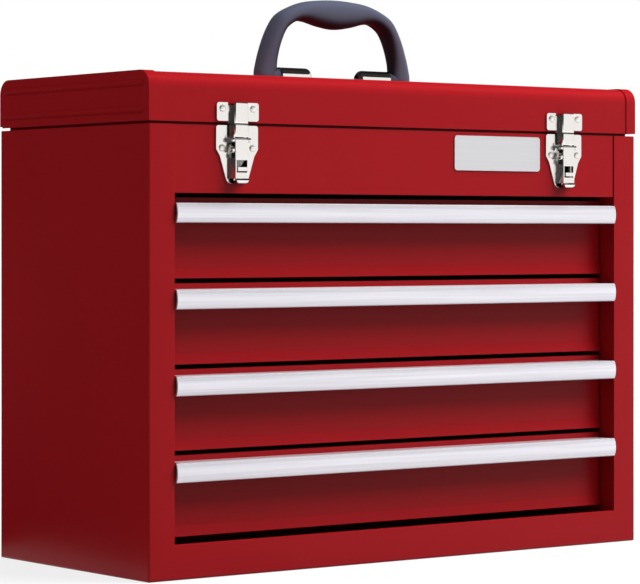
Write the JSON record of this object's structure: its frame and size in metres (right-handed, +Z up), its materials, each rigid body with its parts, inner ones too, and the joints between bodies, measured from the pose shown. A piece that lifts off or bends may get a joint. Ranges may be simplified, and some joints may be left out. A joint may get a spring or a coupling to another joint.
{
  "type": "portable tool box with drawers",
  "caption": "Hand-carried sheet-steel tool box: stacked drawers under a till, hinged lid with a folding grip, two front latches.",
  "frame": {"origin": "middle of the flat underside of the case", "axes": "+Z up, +X to the right along the width as seen from the front, -Y out of the drawer fronts"},
  "size_m": [0.523, 0.2338, 0.475],
  "materials": {
    "red_paint": "gloss red enamel with a faint orange peel",
    "red_paint_inside": "thin red enamel on inner sheets",
    "pull_aluminium": "brushed along its length, satin",
    "plate_aluminium": "fine satin",
    "zinc_steel": "zinc plated",
    "nickel": "polished nickel plate",
    "grip_plastic": "moulded, slightly soft satin"
  },
  "bodies": {
    "cabinet": {"case_shell": "red_paint", "back_panel": "red_paint", "front_panel": "red_paint", "till_tray": "red_paint_inside", "till_ledge": "red_paint_inside", "upright_left": "red_paint_inside", "upright_right": "red_paint_inside", "cabinet_slide_1": "zinc_steel", "cabinet_slide_2": "zinc_steel", "cabinet_slide_3": "zinc_steel", "cabinet_slide_4": "zinc_steel", "name_plate": "plate_aluminium", "case_rivets": "nickel", "hinge_leaf_case": "zinc_steel", "hinge_pin": "zinc_steel", "latch_base_left": "nickel", "latch_base_right": "nickel", "latch_pin_left": "nickel", "latch_pin_right": "nickel", "latch_spring_left": "nickel", "latch_spring_right": "nickel"},
    "lid": {"lid_cover": "red_paint", "lid_end_left": "red_paint", "lid_end_right": "red_paint", "hinge_leaf_lid": "zinc_steel", "lid_rivets": "nickel", "latch_keeper_left": "nickel", "latch_keeper_right": "nickel", "handle_saddle_left": "nickel", "handle_saddle_right": "nickel"},
    "handle": {"handle_grip": "grip_plastic", "handle_axle_left": "zinc_steel", "handle_axle_right": "zinc_steel"},
    "lever_left": {"latch_lever_left": "nickel"},
    "lever_right": {"latch_lever_right": "nickel"},
    "hook_left": {"latch_hook_left": "nickel"},
    "hook_right": {"latch_hook_right": "nickel"},
    "drawer_1": {"drawer_pan_1": "red_paint_inside", "drawer_front_1": "red_paint", "drawer_pull_1": "pull_aluminium", "drawer_slide_1": "zinc_steel"},
    "drawer_2": {"drawer_pan_2": "red_paint_inside", "drawer_front_2": "red_paint", "drawer_pull_2": "pull_aluminium", "drawer_slide_2": "zinc_steel"},
    "drawer_3": {"drawer_pan_3": "red_paint_inside", "drawer_front_3": "red_paint", "drawer_pull_3": "pull_aluminium", "drawer_slide_3": "zinc_steel"},
    "drawer_4": {"drawer_pan_4": "red_paint_inside", "drawer_front_4": "red_paint", "drawer_pull_4": "pull_aluminium", "drawer_slide_4": "zinc_steel"}
  },
  "joints": [
    {"name": "lid_hinge", "type": "hinge", "parent": "cabinet", "child": "lid", "pos_m": [0, 0.11105, 0.3617], "axis": [-1, 0, 0], "range_deg": [0, 92]},
    {"name": "handle_fold", "type": "hinge", "parent": "lid", "child": "handle", "pos_m": [0, -0.0098, 0.4085], "axis": [1, 0, 0], "range_deg": [-85, 85]},
    {"name": "latch_left_lever", "type": "hinge", "parent": "cabinet", "child": "lever_left", "pos_m": [-0.175, -0.11755, 0.3482], "axis": [-1, 0, 0], "range_deg": [0, 90]},
    {"name": "latch_left_hook", "type": "hinge", "parent": "cabinet", "child": "hook_left", "pos_m": [-0.175, -0.11755, 0.3482], "axis": [-1, 0, 0], "range_deg": [0, 4.5]},
    {"name": "latch_right_lever", "type": "hinge", "parent": "cabinet", "child": "lever_right", "pos_m": [0.175, -0.11755, 0.3482], "axis": [-1, 0, 0], "range_deg": [0, 90]},
    {"name": "latch_right_hook", "type": "hinge", "parent": "cabinet", "child": "hook_right", "pos_m": [0.175, -0.11755, 0.3482], "axis": [-1, 0, 0], "range_deg": [0, 4.5]},
    {"name": "drawer_1_slide", "type": "slide", "parent": "cabinet", "child": "drawer_1", "axis": [0, -1, 0], "range_m": [0, 0.15]},
    {"name": "drawer_2_slide", "type": "slide", "parent": "cabinet", "child": "drawer_2", "axis": [0, -1, 0], "range_m": [0, 0.15]},
    {"name": "drawer_3_slide", "type": "slide", "parent": "cabinet", "child": "drawer_3", "axis": [0, -1, 0], "range_m": [0, 0.15]},
    {"name": "drawer_4_slide", "type": "slide", "parent": "cabinet", "child": "drawer_4", "axis": [0, -1, 0], "range_m": [0, 0.15]}
  ],
  "couplings": [
    {"joint": "latch_left_hook", "follows": "latch_left_lever", "ratio": 0.05},
    {"joint": "latch_right_hook", "follows": "latch_right_lever", "ratio": 0.05}
  ]
}
